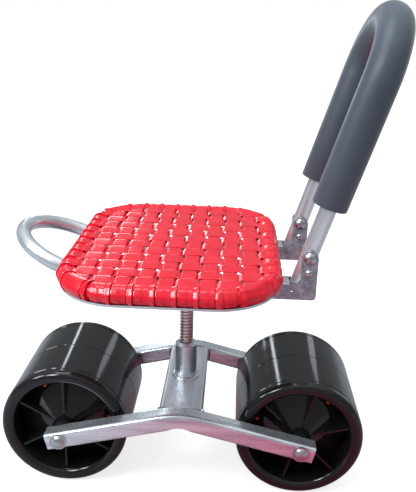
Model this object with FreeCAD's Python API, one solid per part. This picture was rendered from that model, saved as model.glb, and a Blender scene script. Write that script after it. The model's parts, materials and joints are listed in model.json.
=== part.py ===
"""Rolling garden seat: a woven seat with a folding back on a lift screw, over two wide rollers.

Millimetres. X runs from the front handle (-X) to the backrest (+X), Y runs across, Z is up.
The model is laid out about the lift screw's axis on the floor; the last step moves it along X so
that the origin is on the floor midway between its foremost and rearmost points.
"""
import FreeCAD, Part
import math
import os

Vec = FreeCAD.Vector
X_AXIS = Vec(1, 0, 0)
Y_AXIS = Vec(0, 1, 0)
Z_AXIS = Vec(0, 0, 1)

# Rollers
roller_diameter = 180.0
roller_width = 170.0
wheelbase = 335.0
barrel_wall = 5.0
lip_width = 19.0            # radial width of the rolled rim
lip_groove_depth = 1.2
lip_groove_width = 2.5
lip_groove_start = 14.0     # from the lip's end
seam_chamfer = 0.8          # on both shells where they meet
web_rim_depth = 36.0        # from the lip's end down to the web at the rim
web_hub_depth = 8.0         # from the lip's end down to the web at the hub
web_thickness = 3.5
rib_count = 6
rib_thickness = 2.6
rib_depth = 8.0             # from the lip's end down to the rib's edge
rib_overlap = 1.0           # of a rib into the hub, rim and web
hub_diameter = 34.0
hub_end_depth = 1.0         # from the lip's end down to the hub's face
hub_length = 34.0
tie_count = 3
tie_circle_inset = 11.0     # of the tie bolts' circle from the rim's inner edge
tie_post_diameter = 13.0
tie_seat_below_web = 3.2    # tie bolt's seat, from the web's outer face at its circle
tie_pocket_diameter = 9.0
front_rib_angle = 90.0      # degrees from +X of the first rib
rear_rib_angle = 15.0
tie_angle_from_rib = 33.0

# Axles and their hardware
axle_diameter = 12.0
axle_hole_clearance = 0.25   # radial, in the arms
running_clearance = 0.05     # radial, shafts that turn
bush_outer_diameter = 20.0
bush_length = 22.0
bush_flange_diameter = 28.0
bush_flange_thickness = 2.0
thrust_washer_diameter = 28.0
thrust_gap = 0.3             # end play beside each bush flange
axle_head_diameter = 19.0
axle_head_height = 5.0
axle_nut_across_flats = 19.0
axle_nut_height = 10.0
axle_washer_diameter = 23.5
axle_washer_thickness = 1.5
axle_thread_past_nut = 2.0
tie_bolt_diameter = 4.0
tie_head_diameter = 6.0
tie_head_height = 2.2
tie_head_edge_radius = 1.0
tie_thread_past_nut = 1.0
tie_nut_across_flats = 7.0
tie_nut_height = 3.2
through_clearance = 0.1      # radial, bolts that only pass through
hex_chamfer_share = 0.8      # of a hexagon's corner, taken off by its end chamfer

# Arms and cross tube
arm_size = 25.0
arm_wall = 2.0
arm_corner_radius = 5.0
least_inner_radius = 0.3     # of a rectangular tube's inner edges
arm_side_gap = 4.0           # from a roller's end to the arm beside it
arm_slope = 13.8             # degrees
arm_bend_radius = 110.0      # on the arm's mid-line
arm_end_past_axle = 18.0
crush_width = 40.0           # arched dent under the bend
crush_rise = 5.5
cross_width = 60.0
cross_height = 25.0
cross_wall = 2.0
cross_corner_radius = 4.5
cross_top_below_arm = 2.3
cross_screw_clearance = 1.0  # radial, screw through the cross tube
weld_leg = 5.0

# Lift screw
screw_diameter = 20.0
socket_diameter = 32.0
socket_height = 58.0
socket_chamfer = 4.0
screw_out = 108.0            # screw showing above the socket at rest
screw_end_height = 92.0      # of the screw's lower shoulder above the floor
pilot_diameter = 12.0
pilot_length = 3.4
stop_washer_diameter = 34.0
stop_washer_thickness = 3.0
stop_bolt_diameter = 8.0
stop_bolt_depth = 24.0
stop_bolt_end_gap = 1.0      # from the bolt's end to the bottom of its hole
stop_bolt_head_flats = 13.0
stop_bolt_head_height = 5.5
stop_bolt_flange_diameter = 18.0
stop_bolt_flange_thickness = 1.6

# Seat frame
flange_thickness = 4.0
flange_length = 60.0
flange_overhang = 6.0
rail_width = 25.0
rail_height = 20.0
rail_wall = 2.0
rail_corner_radius = 2.5
rail_spacing = 146.0
rail_front_inset = 22.0      # from the seat's front edge back to the rails
seat_length = 282.0
seat_breadth = 366.0
seat_corner_radius = 84.0
seat_offset = -16.0          # of the seat's centre from the screw
hoop_thickness = 3.0
hoop_width = 32.0
hoop_inset = 4.0
ring_diameter = 18.0
ring_wall = 1.5
ring_vent_diameter = 5.0
wrap_thickness = 2.0
wrap_ring_clearance = 0.1
wrap_pitch = 14.0
wrap_gap = 0.8
strap_width = 20.0
column_pitch = 25.7          # of the straps that run from side to side
row_pitch = 27.0             # of the straps that run from front to back
strap_thickness = 1.2
strap_top_drop = 3.0         # weave below the top of the wrapped edge

# Front handle
handle_diameter = 20.0
handle_wall = 1.5
handle_slope = 22.8          # degrees
handle_reach = 72.0          # from the seat's front edge to the loop's mid-line
handle_drop = 8.7            # leg's mid-line below the ring's, under the seat's front edge
handle_tail = 20.0           # leg behind the seat's front edge
handle_wrap_clearance = 0.3

# Backrest and brackets
pivot_behind_seat = 36.5
pivot_above_rail_top = 36.5
plate_thickness = 3.0
plate_leg_width = 21.0
plate_fillet = 9.0
plate_corner_radius = 5.0
plate_on_rail = 50.0
spare_hole_diameter = 5.5
spare_hole_past_rail = 0.7   # from the rail's end to the hole's edge
spare_hole_height = 12.5     # above the plate's lower edge
pivot_bolt_diameter = 8.0
pivot_head_diameter = 17.0
pivot_head_height = 5.0
pivot_nut_flats = 13.0
pivot_nut_height = 8.0
pivot_thread_past_nut = 1.5
pad_width = 18.0
pad_tube_gap = 0.3           # between a plastic pad and the tube
pad_rivet_diameter = 5.0
pad_rivet_head_diameter = 10.0
pad_rivet_head_height = 2.5
pad_rivet_drop = 20.0        # below the pivot
pad_rivet_sink = 0.4         # rivet's tail below the pad's face
stop_contact_gap = 0.15      # between the tube's tail and the rail's end
back_tube_diameter = 22.0
back_tube_wall = 1.5
back_lean = 16.8             # degrees from upright
back_length = 301.0          # pivot to the top of the loop's mid-line
back_tail = 45.0             # tube below the pivot
grip_diameter = 46.0
grip_clearance = 0.2
grip_start = 68.6            # pivot to the grip's lower ends

# Derived places
roller_radius = roller_diameter / 2
half_width = roller_width / 2
axle_height = roller_radius
rim_inner = roller_radius - lip_width
hub_radius = hub_diameter / 2
tie_circle_radius = rim_inner - tie_circle_inset
web_fall = (web_rim_depth - web_hub_depth) / (rim_inner - hub_radius)
tie_head_depth = web_hub_depth + web_fall * (tie_circle_radius - hub_radius) + tie_seat_below_web
arm_inner = half_width + arm_side_gap
arm_outer = arm_inner + arm_size
arm_mid_y = (arm_inner + arm_outer) / 2
slope = math.radians(arm_slope)
vertex_height = axle_height + wheelbase / 2 * math.tan(slope)
bend_drop = arm_bend_radius * (1 / math.cos(slope) - 1)
arm_top = vertex_height - bend_drop + arm_size / 2
cross_top = arm_top - cross_top_below_arm
socket_top = cross_top + socket_height
screw_top = socket_top + screw_out
rail_bottom = screw_top + flange_thickness
rail_top = rail_bottom + rail_height
hoop_top = rail_top + hoop_thickness
wrap_radius = ring_diameter / 2 + wrap_thickness
ring_height = hoop_top + wrap_radius
ring_half_length = seat_length / 2 - wrap_radius
ring_half_breadth = seat_breadth / 2 - wrap_radius
ring_corner = seat_corner_radius - wrap_radius
seat_front = seat_offset - seat_length / 2
seat_rear = seat_offset + seat_length / 2
rail_y = rail_spacing / 2
pivot_x = seat_rear + pivot_behind_seat
pivot_z = rail_top + pivot_above_rail_top
lean = math.radians(back_lean)
rail_end = (pivot_x - back_tail * math.sin(lean) - back_tube_diameter / 2 * math.cos(lean)
            - stop_contact_gap)
pad_thickness = (rail_width - back_tube_diameter) / 2 - pad_tube_gap
spare_hole_x = rail_end + spare_hole_past_rail + spare_hole_diameter / 2
spare_hole_z = rail_bottom + spare_hole_height
handle_angle = math.radians(handle_slope)
handle_tip = seat_front - handle_reach
front_reach = min(handle_tip - handle_diameter / 2, -wheelbase / 2 - roller_radius)
rear_reach = pivot_x + back_length * math.sin(lean) + grip_diameter / 2
origin_x = (front_reach + rear_reach) / 2


def box(x0, x1, y0, y1, z0, z1):
    return Part.makeBox(x1 - x0, y1 - y0, z1 - z0, Vec(x0, y0, z0))


def rod(radius, start, direction, length):
    return Part.makeCylinder(radius, length, start, direction)


def ring_piece(outer_radius, inner_radius, start, direction, length):
    return rod(outer_radius, start, direction, length).cut(rod(inner_radius, start, direction, length))


def prism(points, direction):
    """Closed polygon of points pushed along a vector."""
    return Part.Face(Part.makePolygon(points + points[:1])).extrude(direction)


def hexagon(flats, start, direction, length):
    """Hexagonal bar with its flats the given distance apart."""
    side = direction.cross(Z_AXIS)
    if side.Length < 0.5:
        side = X_AXIS
    up = side.cross(direction)
    reach = flats / 2 / math.cos(math.pi / 6)
    corners = []
    for i in range(6):
        angle = math.radians(60 * i)
        corners.append(start + side * (reach * math.cos(angle)) + up * (reach * math.sin(angle)))
    blank = rod(reach, start, direction, length)
    outer_end = start + direction * length
    rim = [e for e in blank.Edges if (e.CenterOfMass - outer_end).Length < 0.1 and len(e.Vertexes) == 1]
    chamfer = (reach - flats / 2) * hex_chamfer_share
    return prism(corners, direction * length).common(blank.makeChamfer(chamfer, rim))


def square_tube(x0, x1, y0, y1, z0, z1, wall, corner, along):
    """Rectangular tube with rounded long edges, open at both ends of the axis named by along."""
    def rounded(grow, radius):
        solid = box(x0 - grow.x, x1 + grow.x, y0 - grow.y, y1 + grow.y, z0 - grow.z, z1 + grow.z)
        edges = []
        for edge in solid.Edges:
            if abs(edge.tangentAt(edge.FirstParameter).dot(along)) > 0.99:
                edges.append(edge)
        return solid.makeFillet(radius, edges)
    inward = (Vec(1, 1, 1) - along) * -wall
    return rounded(Vec(0, 0, 0), corner).cut(rounded(inward, max(corner - wall, least_inner_radius)))


def round_pipe(path, radius):
    """Solid round bar along a wire of straight runs and tangent arcs."""
    start = path.Edges[0]
    point = start.valueAt(start.FirstParameter)
    direction = start.tangentAt(start.FirstParameter)
    section = Part.Wire(Part.makeCircle(radius, point, direction))
    return path.makePipeShell([section], True, False)


def rounded_ring(radius):
    """Round bar bent to the seat's rounded rectangle."""
    straight_x = ring_half_length - ring_corner
    straight_y = ring_half_breadth - ring_corner
    pieces = []
    for sign_x, sign_y, turn in ((1, 1, 0), (-1, 1, 90), (-1, -1, 180), (1, -1, 270)):
        centre = Vec(seat_offset + sign_x * straight_x, sign_y * straight_y, ring_height)
        corner = Part.makeTorus(ring_corner, radius, centre, Z_AXIS, -180, 180, 90)
        corner.rotate(centre, Z_AXIS, turn)
        pieces.append(corner)
    for sign in (1, -1):
        start = Vec(seat_offset - straight_x, sign * ring_half_breadth, ring_height)
        pieces.append(rod(radius, start, X_AXIS, 2 * straight_x))
        start = Vec(seat_offset + sign * ring_half_length, -straight_y, ring_height)
        pieces.append(rod(radius, start, Y_AXIS, 2 * straight_y))
    return pieces[0].fuse(pieces[1:]).removeSplitter()


def rounded_plate(half_length, half_breadth, corner, z0, z1):
    """Flat plate with the seat's rounded outline."""
    plate = box(seat_offset - half_length, seat_offset + half_length, -half_breadth, half_breadth, z0, z1)
    upright = [e for e in plate.Edges if abs(e.tangentAt(e.FirstParameter).z) > 0.99]
    return plate.makeFillet(corner, upright)


def mirror_y(shape):
    return shape.mirror(Vec(0, 0, 0), Y_AXIS)


def arm_outline(inset, length_past_axle):
    """Side outline of a bent arm without its dent, drawn in by inset, as a wire in the plane Y = 0."""
    half = arm_size / 2 - inset
    centre = Vec(0, 0, vertex_height - arm_bend_radius / math.cos(slope))
    along = Vec(math.cos(slope), 0, -math.sin(slope))
    normal = Vec(math.sin(slope), 0, math.cos(slope))
    tip = Vec(wheelbase / 2, 0, axle_height) + along * length_past_axle
    top_bend = centre + normal * (arm_bend_radius + half)
    low_bend = centre + normal * (arm_bend_radius - half)
    top_apex = centre + Z_AXIS * (arm_bend_radius + half)
    low_apex = centre + Z_AXIS * (arm_bend_radius - half)
    top_tip = tip + normal * half
    low_tip = tip - normal * half

    def other(point):
        return Vec(-point.x, 0, point.z)

    return Part.Wire([
        Part.LineSegment(other(top_tip), other(top_bend)).toShape(),
        Part.Arc(other(top_bend), top_apex, top_bend).toShape(),
        Part.LineSegment(top_bend, top_tip).toShape(),
        Part.LineSegment(top_tip, low_tip).toShape(),
        Part.LineSegment(low_tip, low_bend).toShape(),
        Part.Arc(low_bend, low_apex, other(low_bend)).toShape(),
        Part.LineSegment(other(low_bend), other(low_tip)).toShape(),
        Part.LineSegment(other(low_tip), other(top_tip)).toShape(),
    ])


def make_arm():
    """Bent square tube on the +Y side, dented under its bend and drilled for both axles."""
    outer = Part.Face(arm_outline(0, arm_end_past_axle)).extrude(Y_AXIS * arm_size)
    long_edges = []
    for edge in outer.Edges:
        middle = edge.valueAt((edge.FirstParameter + edge.LastParameter) / 2)
        across = abs(edge.tangentAt(edge.FirstParameter).y) > 0.5
        if not across and abs(middle.x) < wheelbase / 2:
            long_edges.append(edge)
    outer = outer.makeFillet(arm_corner_radius, long_edges)
    inner_face = Part.Face(arm_outline(arm_wall, arm_end_past_axle + arm_size))
    hollow = inner_face.extrude(Y_AXIS * (arm_size - 2 * arm_wall))
    hollow.translate(Y_AXIS * arm_wall)
    low_radius = arm_bend_radius - arm_size / 2
    dent_rise = crush_rise + low_radius - math.sqrt(low_radius ** 2 - (crush_width / 2) ** 2)
    dent_radius = ((crush_width / 2) ** 2 + dent_rise ** 2) / (2 * dent_rise)
    dent_axis = Vec(0, 0, arm_top - arm_size + crush_rise - dent_radius)
    hollow = hollow.cut(rod(dent_radius + arm_wall, dent_axis, Y_AXIS, arm_size))
    arm = outer.cut(rod(dent_radius, dent_axis, Y_AXIS, arm_size)).cut(hollow)
    hole_radius = axle_diameter / 2 + axle_hole_clearance
    for sign in (1, -1):
        arm = arm.cut(rod(hole_radius, Vec(sign * wheelbase / 2, 0, axle_height), Y_AXIS, arm_size))
    arm.translate(Y_AXIS * arm_inner)
    return arm


def make_cross_tube():
    low = cross_top - cross_height
    tube = square_tube(-cross_width / 2, cross_width / 2, -arm_inner, arm_inner, low, cross_top,
                       cross_wall, cross_corner_radius, Y_AXIS)
    return tube.cut(rod(screw_diameter / 2 + cross_screw_clearance, Vec(0, 0, low), Z_AXIS, cross_height))


def make_socket():
    base = Vec(0, 0, cross_top)
    body = rod(socket_diameter / 2, base, Z_AXIS, socket_height)
    rim = [e for e in body.Edges if len(e.Vertexes) == 1 and e.CenterOfMass.z > (cross_top + socket_top) / 2]
    bore = rod(screw_diameter / 2 + running_clearance, base, Z_AXIS, socket_height)
    return body.makeChamfer(socket_chamfer, rim).cut(bore)


def make_frame_welds():
    """Bead round the socket's foot and upright beads where the cross tube meets the arms."""
    bead = Part.makeCone(socket_diameter / 2 + weld_leg, socket_diameter / 2, weld_leg, Vec(0, 0, cross_top))
    beads = [bead.cut(rod(socket_diameter / 2, Vec(0, 0, cross_top), Z_AXIS, weld_leg))]
    low = cross_top - cross_height + cross_corner_radius
    rise = Z_AXIS * (cross_height - 2 * cross_corner_radius)
    for sign_x in (1, -1):
        for sign_y in (1, -1):
            corner = Vec(sign_x * cross_width / 2, sign_y * arm_inner, low)
            foot = [corner, corner + X_AXIS * (sign_x * weld_leg), corner - Y_AXIS * (sign_y * weld_leg)]
            beads.append(prism(foot, rise))
    return Part.makeCompound(beads)


def make_roller_shell(rib_angle):
    """Half shell at the -Y end of a roller centred on the origin, with its seam at Y = 0."""
    origin = Vec(0, 0, 0)
    end = -half_width
    lip_radius = lip_width / 2
    inner = roller_radius - barrel_wall
    hub = hub_radius
    hub_face = end + hub_end_depth
    web_rim = end + web_rim_depth
    web_hub = end + web_hub_depth
    groove = end + lip_groove_start
    lip_start = Vec(roller_radius, end + lip_radius, 0)
    lip_tip = Vec(roller_radius - lip_radius, end, 0)
    lip_end = Vec(rim_inner, end + lip_radius, 0)
    inside = [(rim_inner, web_rim), (hub, web_hub), (hub, hub_face), (bush_outer_diameter / 2, hub_face),
              (bush_outer_diameter / 2, hub_face + hub_length), (hub, hub_face + hub_length),
              (hub, web_hub + web_thickness), (rim_inner, web_rim + web_thickness),
              (inner, web_rim + web_thickness + barrel_wall), (inner, 0),
              (roller_radius - seam_chamfer, 0), (roller_radius, -seam_chamfer),
              (roller_radius, groove + lip_groove_width),
              (roller_radius - lip_groove_depth, groove + lip_groove_width / 2), (roller_radius, groove)]
    points = [lip_end] + [Vec(radius, y, 0) for radius, y in inside] + [lip_start]
    outline = Part.Wire(Part.makePolygon(points).Edges + [Part.Arc(lip_start, lip_tip, lip_end).toShape()])
    shell = Part.Face(outline).revolve(origin, Y_AXIS, 360)
    ribs = []
    for i in range(rib_count):
        from_hub = hub - rib_overlap
        to_rim = rim_inner + rib_overlap
        rib = prism([Vec(from_hub, end + rib_depth, 0), Vec(to_rim, end + rib_depth, 0),
                     Vec(to_rim, web_rim + rib_overlap, 0), Vec(from_hub, web_hub + rib_overlap, 0)],
                    Z_AXIS * rib_thickness)
        rib.translate(Z_AXIS * (-rib_thickness / 2))
        rib.rotate(origin, Y_AXIS, -(rib_angle + 360 / rib_count * i))
        ribs.append(rib)
    posts = []
    holes = []
    for centre in tie_places(rib_angle):
        seat = Vec(centre.x, end + tie_head_depth, centre.z)
        posts.append(rod(tie_post_diameter / 2, seat, Y_AXIS, -seat.y))
        holes.append(rod(tie_bolt_diameter / 2 + through_clearance, seat, Y_AXIS, -seat.y))
        holes.append(rod(tie_pocket_diameter / 2, seat, -Y_AXIS, tie_head_depth))
    return shell.fuse(ribs + posts).cut(holes).removeSplitter()


def tie_places(rib_angle):
    """Centres of the tie bolts round a roller on the origin."""
    places = []
    for i in range(tie_count):
        angle = math.radians(rib_angle + tie_angle_from_rib + 360 / tie_count * i)
        places.append(Vec(tie_circle_radius * math.cos(angle), 0, tie_circle_radius * math.sin(angle)))
    return places


def make_bush():
    """Flanged bush at the -Y end of a roller centred on the origin."""
    face = Vec(0, -half_width + hub_end_depth, 0)
    body = rod(bush_outer_diameter / 2, face, Y_AXIS, bush_length)
    flange = rod(bush_flange_diameter / 2, face, -Y_AXIS, bush_flange_thickness)
    bore = rod(axle_diameter / 2 + running_clearance, Vec(0, -arm_outer, 0), Y_AXIS, arm_outer)
    return body.fuse(flange).cut(bore).removeSplitter()


def make_tie_bolt(centre):
    """Pan-headed bolt through both shells, head at the -Y end."""
    seat = -half_width + tie_head_depth
    start = Vec(centre.x, seat, centre.z)
    shank = rod(tie_bolt_diameter / 2, start, Y_AXIS, -2 * seat + tie_nut_height + tie_thread_past_nut)
    head = rod(tie_head_diameter / 2, start, -Y_AXIS, tie_head_height)
    rim = [e for e in head.Edges if abs(e.BoundBox.YMax - (seat - tie_head_height)) < 1e-6]
    return shank.fuse(head.makeFillet(tie_head_edge_radius, rim)).removeSplitter()


def make_tie_nut(centre):
    seat = Vec(centre.x, half_width - tie_head_depth, centre.z)
    nut = hexagon(tie_nut_across_flats, seat, Y_AXIS, tie_nut_height)
    return nut.cut(rod(tie_bolt_diameter / 2, seat, Y_AXIS, tie_nut_height))


def make_roller(name, x, rib_angle):
    """All pieces of one roller, moved to its axle."""
    shell = make_roller_shell(rib_angle)
    bush = make_bush()
    places = tie_places(rib_angle)
    pieces = {
        name + "_near_shell": shell,
        name + "_far_shell": mirror_y(shell),
        name + "_bushes": Part.makeCompound([bush, mirror_y(bush)]),
        name + "_tie_bolts": Part.makeCompound([make_tie_bolt(p) for p in places]),
        name + "_tie_nuts": Part.makeCompound([make_tie_nut(p) for p in places]),
    }
    for piece in pieces.values():
        piece.translate(Vec(x, 0, axle_height))
    return pieces


def axle_hardware():
    """Dome-headed bolts from the near arm to the far arm, with washers, nuts and thrust washers."""
    bolts = []
    washers = []
    nuts = []
    thrusts = []
    radius = axle_diameter / 2
    head_face = arm_outer + axle_washer_thickness
    thrust_in = half_width - hub_end_depth + bush_flange_thickness + thrust_gap
    for x in (-wheelbase / 2, wheelbase / 2):
        near = Vec(x, -head_face, axle_height)
        length = 2 * head_face + axle_nut_height + axle_thread_past_nut
        head = dome(near, axle_head_diameter, axle_head_height)
        bolts.append(head.fuse(rod(radius, near, Y_AXIS, length)).removeSplitter())
        far = Vec(x, head_face, axle_height)
        nut = hexagon(axle_nut_across_flats, far, Y_AXIS, axle_nut_height)
        nuts.append(nut.cut(rod(radius, far, Y_AXIS, axle_nut_height)))
        for sign in (1, -1):
            outer_face = Vec(x, sign * arm_outer, axle_height)
            washers.append(ring_piece(axle_washer_diameter / 2, radius, outer_face, Y_AXIS * sign,
                                      axle_washer_thickness))
            inner_face = Vec(x, sign * arm_inner, axle_height)
            thrusts.append(ring_piece(thrust_washer_diameter / 2, radius, inner_face, Y_AXIS * -sign,
                                      arm_inner - thrust_in))
    return {
        "axle_bolts": Part.makeCompound(bolts),
        "axle_washers": Part.makeCompound(washers),
        "axle_nuts": Part.makeCompound(nuts),
        "thrust_washers": Part.makeCompound(thrusts),
    }


def make_lift_screw():
    """Round bar with a turned pilot and a blind hole for the stop bolt at its lower end."""
    shoulder = Vec(0, 0, screw_end_height)
    bar = rod(screw_diameter / 2, shoulder, Z_AXIS, screw_top - screw_end_height)
    pilot = rod(pilot_diameter / 2, shoulder, -Z_AXIS, pilot_length)
    hole = rod(stop_bolt_diameter / 2, shoulder - Z_AXIS * pilot_length, Z_AXIS, stop_bolt_depth)
    return bar.fuse(pilot).cut(hole).removeSplitter()


def make_stop_washer():
    """Loose washer on the screw's pilot; it stops the screw at the cross tube's underside."""
    play = (pilot_length - stop_washer_thickness) / 2
    low = Vec(0, 0, screw_end_height - play - stop_washer_thickness)
    bore = pilot_diameter / 2 + running_clearance
    return ring_piece(stop_washer_diameter / 2, bore, low, Z_AXIS, stop_washer_thickness)


def make_stop_bolt():
    face = Vec(0, 0, screw_end_height - pilot_length)
    flange = rod(stop_bolt_flange_diameter / 2, face, -Z_AXIS, stop_bolt_flange_thickness)
    head = hexagon(stop_bolt_head_flats, face, -Z_AXIS, stop_bolt_flange_thickness + stop_bolt_head_height)
    shank = rod(stop_bolt_diameter / 2, face, Z_AXIS, stop_bolt_depth - stop_bolt_end_gap)
    return shank.fuse([flange, head]).removeSplitter()


def make_flange_plate():
    half_breadth = rail_y + rail_width / 2 + flange_overhang
    return box(-flange_length / 2, flange_length / 2, -half_breadth, half_breadth, screw_top, rail_bottom)


def make_rail():
    """Rectangular tube under the seat on the +Y side; its rear end stops the backrest's tail."""
    return square_tube(seat_front + rail_front_inset, rail_end, rail_y - rail_width / 2,
                       rail_y + rail_width / 2, rail_bottom, rail_top, rail_wall, rail_corner_radius, X_AXIS)


def make_hoop():
    """Flat steel hoop under the wrapped ring."""
    outer = rounded_plate(seat_length / 2 - hoop_inset, seat_breadth / 2 - hoop_inset,
                          seat_corner_radius - hoop_inset, rail_top, hoop_top)
    inset = hoop_inset + hoop_width
    inner = rounded_plate(seat_length / 2 - inset, seat_breadth / 2 - inset,
                          seat_corner_radius - inset, rail_top, hoop_top)
    return outer.cut(inner)


def make_seat_ring():
    """Round tube ring, with one vent hole on its inner side at the rear."""
    ring = rounded_ring(ring_diameter / 2).cut(rounded_ring(ring_diameter / 2 - ring_wall))
    inside = Vec(seat_offset + ring_half_length, 0, ring_height)
    return ring.cut(rod(ring_vent_diameter / 2, inside, -X_AXIS, ring_diameter))


def make_edge_wrap():
    """Strap turns round the ring, as short sleeves set side by side."""
    outer = wrap_radius
    inner = ring_diameter / 2 + wrap_ring_clearance
    straight_x = ring_half_length - ring_corner
    straight_y = ring_half_breadth - ring_corner
    turns = []
    for half, across, direction in ((straight_x, ring_half_breadth, X_AXIS),
                                    (straight_y, ring_half_length, Y_AXIS)):
        side = Vec(direction.y, direction.x, 0)
        count = max(1, round(2 * half / wrap_pitch))
        step = 2 * half / count
        for sign in (1, -1):
            for i in range(count):
                start = Vec(seat_offset, 0, ring_height) + side * (sign * across)
                start = start + direction * (-half + step * i + wrap_gap / 2)
                turns.append(ring_piece(outer, inner, start, direction, step - wrap_gap))
    count = max(1, round(ring_corner * math.pi / 2 / wrap_pitch))
    gap_angle = math.degrees(wrap_gap / ring_corner)
    step = 90 / count
    for sign_x, sign_y, turn in ((1, 1, 0), (-1, 1, 90), (-1, -1, 180), (1, -1, 270)):
        centre = Vec(seat_offset + sign_x * straight_x, sign_y * straight_y, ring_height)
        for i in range(count):
            outer_piece = Part.makeTorus(ring_corner, outer, centre, Z_AXIS, -180, 180, step - gap_angle)
            inner_piece = Part.makeTorus(ring_corner, inner, centre, Z_AXIS, -180, 180, step - gap_angle)
            piece = outer_piece.cut(inner_piece)
            piece.rotate(centre, Z_AXIS, turn + step * i + gap_angle / 2)
            turns.append(piece)
    return Part.makeCompound(turns)


def strap_layer(along, across, half_across, pitch, top):
    """Flat straps side by side, trimmed to the space inside the wrapped edge."""
    rise = top - strap_thickness / 2 - ring_height
    inset = math.sqrt(wrap_radius ** 2 - rise ** 2) + wrap_ring_clearance
    room = rounded_plate(ring_half_length - inset, ring_half_breadth - inset, ring_corner - inset,
                         top - strap_thickness, top)
    count = int((2 * (half_across - inset) - strap_width) / pitch) + 1
    straps = []
    for i in range(count):
        middle = Vec(seat_offset, 0, 0) + across * ((i - (count - 1) / 2) * pitch)
        reach = along * seat_breadth + across * (strap_width / 2)
        low = middle - reach
        high = middle + reach
        strap = box(min(low.x, high.x), max(low.x, high.x), min(low.y, high.y), max(low.y, high.y),
                    top - strap_thickness, top)
        straps.append(strap.common(room))
    return Part.makeCompound(straps)


def make_handle():
    """Bent tube loop that rises from under the seat's front edge, notched to the edge and the hoop."""
    forward = Vec(-math.cos(handle_angle), 0, math.sin(handle_angle))
    edge = Vec(seat_front, 0, ring_height - handle_drop)
    tail = edge - forward * (handle_tail / math.cos(handle_angle))
    bend = edge + forward * (handle_reach / math.cos(handle_angle) - rail_y)
    side = Y_AXIS * rail_y
    path = Part.Wire([
        Part.LineSegment(tail - side, bend - side).toShape(),
        Part.Arc(bend - side, bend + forward * rail_y, bend + side).toShape(),
        Part.LineSegment(bend + side, tail + side).toShape(),
    ])
    tube = round_pipe(path, handle_diameter / 2).cut(round_pipe(path, handle_diameter / 2 - handle_wall))
    edge_end = Vec(seat_offset - ring_half_length, -ring_half_breadth, ring_height)
    wrapped = rod(wrap_radius + handle_wrap_clearance, edge_end, Y_AXIS, 2 * ring_half_breadth)
    above_hoop = box(seat_front + hoop_inset, 0, -ring_half_breadth, ring_half_breadth, rail_top, ring_height)
    return tube.cut([wrapped, above_hoop])


def make_plate():
    """L-shaped bracket plate in the plane Y = 0, pushed along +Y by its thickness."""
    half = plate_leg_width / 2
    low = rail_bottom
    foot = rail_top
    front = rail_end - plate_on_rail
    pivot = Vec(pivot_x, 0, pivot_z)
    rear_top = pivot + X_AXIS * half
    front_top = pivot - X_AXIS * half
    outline = Part.Wire([
        Part.LineSegment(Vec(front, 0, low), Vec(pivot_x + half, 0, low)).toShape(),
        Part.LineSegment(Vec(pivot_x + half, 0, low), rear_top).toShape(),
        Part.Arc(rear_top, pivot + Z_AXIS * half, front_top).toShape(),
        Part.LineSegment(front_top, Vec(pivot_x - half, 0, foot)).toShape(),
        Part.LineSegment(Vec(pivot_x - half, 0, foot), Vec(front, 0, foot)).toShape(),
        Part.LineSegment(Vec(front, 0, foot), Vec(front, 0, low)).toShape(),
    ])
    plate = Part.Face(outline).extrude(Y_AXIS * plate_thickness)

    def upright_edge(x, z):
        for edge in plate.Edges:
            ends = [v.Point for v in edge.Vertexes]
            if all(abs(p.x - x) < 1e-6 and abs(p.z - z) < 1e-6 for p in ends):
                return edge

    plate = plate.makeFillet(plate_corner_radius, [upright_edge(pivot_x + half, low)])
    plate = plate.makeFillet(plate_fillet, [upright_edge(pivot_x - half, foot)])
    for radius, centre in ((pivot_bolt_diameter / 2 + through_clearance, pivot),
                           (pad_rivet_diameter / 2, pivot - Z_AXIS * pad_rivet_drop),
                           (spare_hole_diameter / 2, Vec(spare_hole_x, 0, spare_hole_z))):
        plate = plate.cut(rod(radius, centre, Y_AXIS, plate_thickness))
    return plate


def bracket_plates(sign):
    """The two plates either side of one rail."""
    plates = []
    for face in (rail_width / 2, -rail_width / 2 - plate_thickness):
        plate = make_plate()
        plate.translate(Y_AXIS * (sign * rail_y + face))
        plates.append(plate)
    return Part.makeCompound(plates)


def make_pad(face, sign):
    """Plastic pad on a plate's inner face, from the pivot down past its rivet, facing along sign."""
    inward = Y_AXIS * sign
    low = face - Z_AXIS * pad_rivet_drop
    half = X_AXIS * (pad_width / 2)
    strip = prism([face - half, face + half, low + half, low - half], inward * pad_thickness)
    ends = [rod(pad_width / 2, face, inward, pad_thickness), rod(pad_width / 2, low, inward, pad_thickness)]
    pad = strip.fuse(ends)
    holes = [rod(pivot_bolt_diameter / 2 + through_clearance, face, inward, pad_thickness),
             rod(pad_rivet_diameter / 2, low, inward, pad_thickness)]
    return pad.removeSplitter().cut(holes)


def make_pad_rivet(face, sign):
    """Button-headed rivet from a plate's outer face into its pad, pointing along sign."""
    head_seat = face - Y_AXIS * (sign * plate_thickness)
    length = plate_thickness + pad_thickness - pad_rivet_sink
    head = dome(head_seat, pad_rivet_head_diameter, pad_rivet_head_height)
    if sign < 0:
        head = head.mirror(head_seat, Y_AXIS)
    return head.fuse(rod(pad_rivet_diameter / 2, head_seat, Y_AXIS * sign, length)).removeSplitter()


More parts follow.
